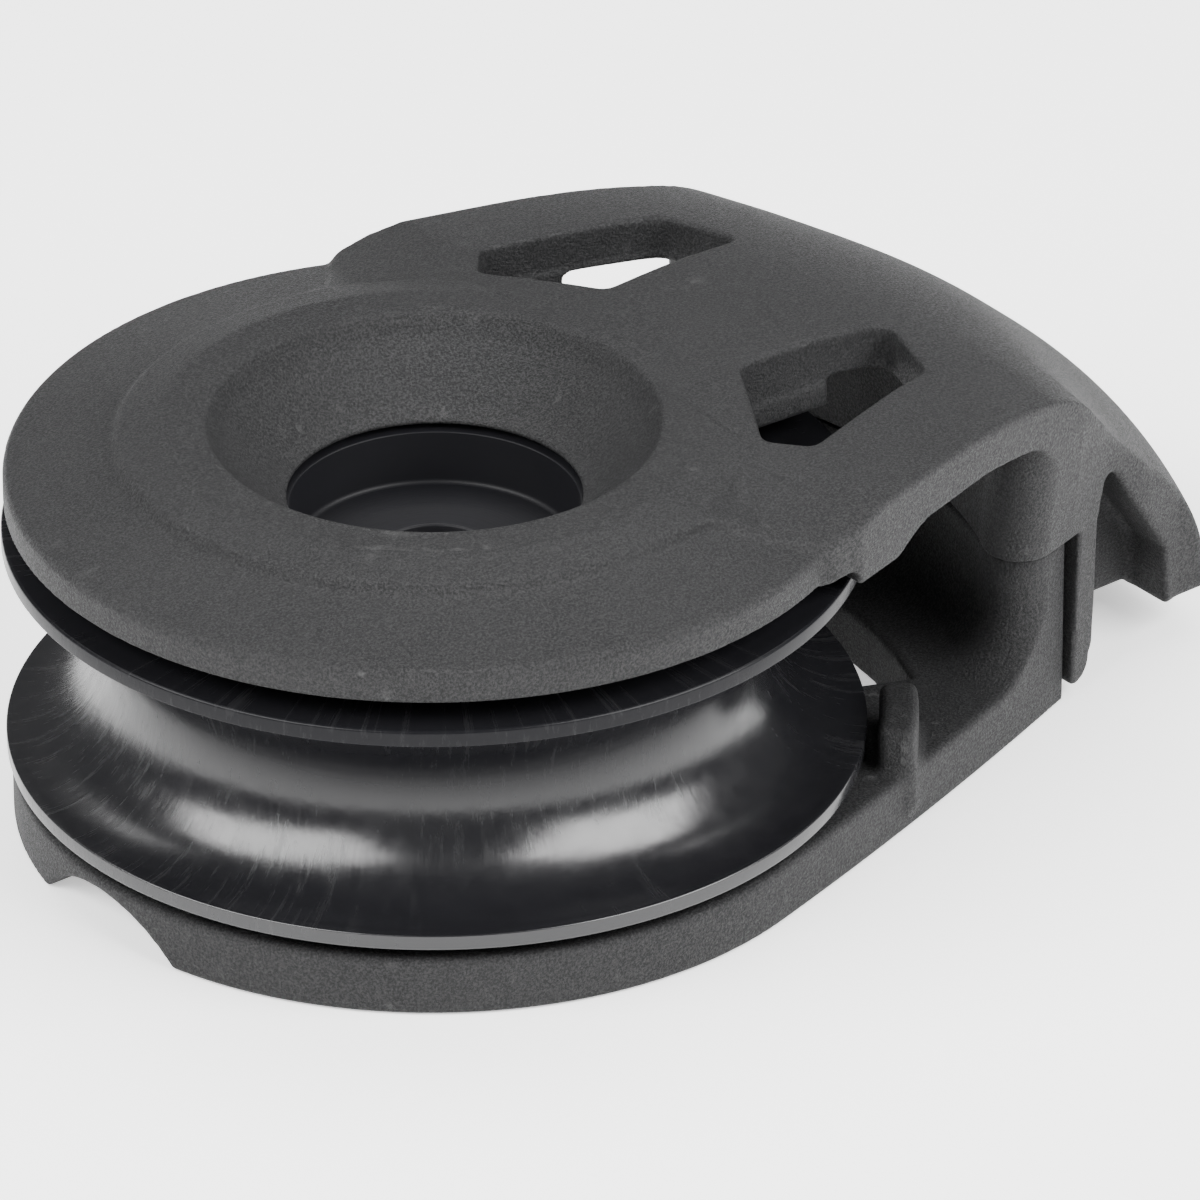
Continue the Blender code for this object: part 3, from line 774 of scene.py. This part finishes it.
def gloss_plastic():
    """Black gloss moulding with faint flow marks up and down it. Its gloss is lower high in the groove,
    in place of the dark surroundings that the photo's groove reflects."""
    black, streaked = (0.006, 0.006, 0.007, 1), (0.016, 0.016, 0.017, 1)
    n = Nodes("gloss_plastic")
    x, y, height = n.from_axis()
    angle = n.math("ARCTAN2", y, x)
    around, up = n.math("MULTIPLY", angle, 20.0), n.math("MULTIPLY", height, 0.25)
    joined = n.add("ShaderNodeCombineXYZ", {"X": around, "Y": up})
    streak = n.noise(2.2, 5.0, 0.7, joined.outputs[0])
    patch = n.remap(n.noise(0.08, 2.0, 0.5), 0.45, 0.62, 0.0, 1.0)
    marks = n.math("MULTIPLY", n.remap(streak, 0.52, 0.75, 0.0, 1.0), patch)
    orange = n.noise(0.9, 2.0, 0.5)
    base = n.mix(marks, black, streaked)
    rough = n.math("ADD", n.remap(orange, 0.3, 0.7, 0.2, 0.27), n.math("MULTIPLY", marks, 0.18))
    normal = n.bump(streak, 0.00004, n.math("MULTIPLY", patch, 0.5))
    normal = n.bump(orange, 0.00003, 0.35, normal)
    sheen = n.remap(height, GROOVE_FADE[0], GROOVE_FADE[1], 0.55, 0.1)
    n.set(Base_Color=base, Roughness=rough, Normal=normal, Specular_IOR_Level=sheen)
    return n.material


def smooth_plastic(name, colour, roughness, specular=0.5):
    """Smooth plastic with faint tool rings round the sheave's axis."""
    n = Nodes(name)
    x, y, _ = n.from_axis()
    squares = n.math("ADD", n.math("MULTIPLY", x, x), n.math("MULTIPLY", y, y))
    radius = n.math("SQRT", squares)
    rings = n.noise(6.0, 2.0, 0.5, n.add("ShaderNodeCombineXYZ", {"X": radius}).outputs[0])
    shade = n.noise(0.4, 3.0, 0.5)
    paler = tuple(min(c * 1.3, 1.0) for c in colour)
    n.set(
        Base_Color=n.mix(shade, (*colour, 1), (*paler, 1)),
        Roughness=n.remap(rings, 0.3, 0.7, roughness - 0.05, roughness + 0.08),
        Normal=n.bump(rings, 0.00002, 0.4),
        Specular_IOR_Level=specular,
    )
    return n.material


def steel():
    """Stainless steel with a fine, uneven polish."""
    n = Nodes("brushed_stainless")
    brush = n.noise(7.0, 4.0, 0.7)
    n.set(
        Base_Color=n.mix(brush, (0.42, 0.42, 0.43, 1), (0.6, 0.6, 0.6, 1)),
        Metallic=1.0,
        Roughness=n.remap(brush, 0.3, 0.7, 0.2, 0.42),
        Normal=n.bump(brush, 0.00002, 0.5),
    )
    return n.material


# Studio ------------------------------------------------------------------------------------------


def basis(azimuth, elevation):
    """Right, up and back directions of a view along +Y at azimuth 0."""
    a, e = radians(azimuth), radians(elevation)
    right = Vector((cos(a), sin(a), 0))
    back = Vector((sin(a) * cos(e), -cos(a) * cos(e), sin(e)))
    return right, back.cross(right), back


def add_camera():
    right, up, back = basis(*VIEW)
    roll = radians(VIEW_ROLL)
    across = right * cos(roll) - up * sin(roll)
    upward = right * sin(roll) + up * cos(roll)
    base = Vector((AXIS_X * MM, 0, 0))
    place = base + back * VIEW_DISTANCE
    aim = (base + across * LOOK_AT[0] + upward * LOOK_AT[1] - place).normalized()
    across = aim.cross(upward).normalized()
    upward = across.cross(aim)
    data = bpy.data.cameras.new("camera")
    data.sensor_width = SENSOR
    data.lens = data.sensor_width * VIEW_DISTANCE / SEEN_WIDTH
    data.clip_start = 0.01
    camera = bpy.data.objects.new("camera", data)
    turn = Matrix((across, upward, -aim)).transposed().to_4x4()
    camera.matrix_world = Matrix.Translation(place) @ turn
    bpy.context.scene.collection.objects.link(camera)
    bpy.context.scene.camera = camera


def add_softbox(name, azimuth, elevation, distance, size, power):
    """A rectangular soft light that faces the block from a direction."""
    data = bpy.data.lights.new(name, "AREA")
    data.shape = "RECTANGLE"
    data.size, data.size_y = size
    data.energy = power
    right, up, back = basis(azimuth, elevation)
    light = bpy.data.objects.new(name, data)
    centre = Vector((0, 0, BLOCK_MIDDLE))
    turn = Matrix((right, up, back)).transposed().to_4x4()
    light.matrix_world = Matrix.Translation(centre + back * distance) @ turn
    bpy.context.scene.collection.objects.link(light)


def add_floor():
    bm = bmesh.new()
    bmesh.ops.create_grid(bm, x_segments=8, y_segments=8, size=2.0)
    mesh = bpy.data.meshes.new("floor")
    bm.to_mesh(mesh)
    bm.free()
    floor = bpy.data.objects.new("floor", mesh)
    floor.location.z = -FLOOR_DROP
    n = Nodes("floor_white")
    n.set(Base_Color=(0.9, 0.9, 0.9, 1), Roughness=0.9)
    n.set(Emission_Color=(1, 1, 1, 1), Emission_Strength=FLOOR_GLOW)
    mesh.materials.append(n.material)
    bpy.context.scene.collection.objects.link(floor)


def add_world():
    world = bpy.data.worlds.new("studio")
    world.use_nodes = True
    back = world.node_tree.nodes["Background"]
    back.inputs["Color"].default_value = (1, 1, 1, 1)
    back.inputs["Strength"].default_value = WORLD_LIGHT
    bpy.context.scene.world = world


add_camera()
grained = grained_plastic()
gloss = gloss_plastic()
acetal = smooth_plastic("black_acetal", (0.02, 0.02, 0.022), 0.35)
ball_finish = smooth_plastic("white_acetal", (0.6, 0.59, 0.55), 0.25)
metal = steel()
carried = {"acetal": acetal, "ball_acetal": ball_finish, "stainless_steel": metal, "gloss_moulding": gloss}
carried["grained_moulding"] = grained
for entry in frame["record"]["subparts"]:
    mesh = frame["nodes"][entry["node"]].data
    mesh.materials.clear()
    mesh.materials.append(carried[entry["material_slot"]])
build_upper_cheek(grained)
build_lower_cheek(grained)
build_sheave(gloss)
build_hub(smooth_plastic("hub_plastic", (0.004, 0.004, 0.005), 0.5, 0.15))
build_insert(metal)
for name, settings in SOFTBOXES.items():
    add_softbox(name, *settings)
add_floor()
add_world()
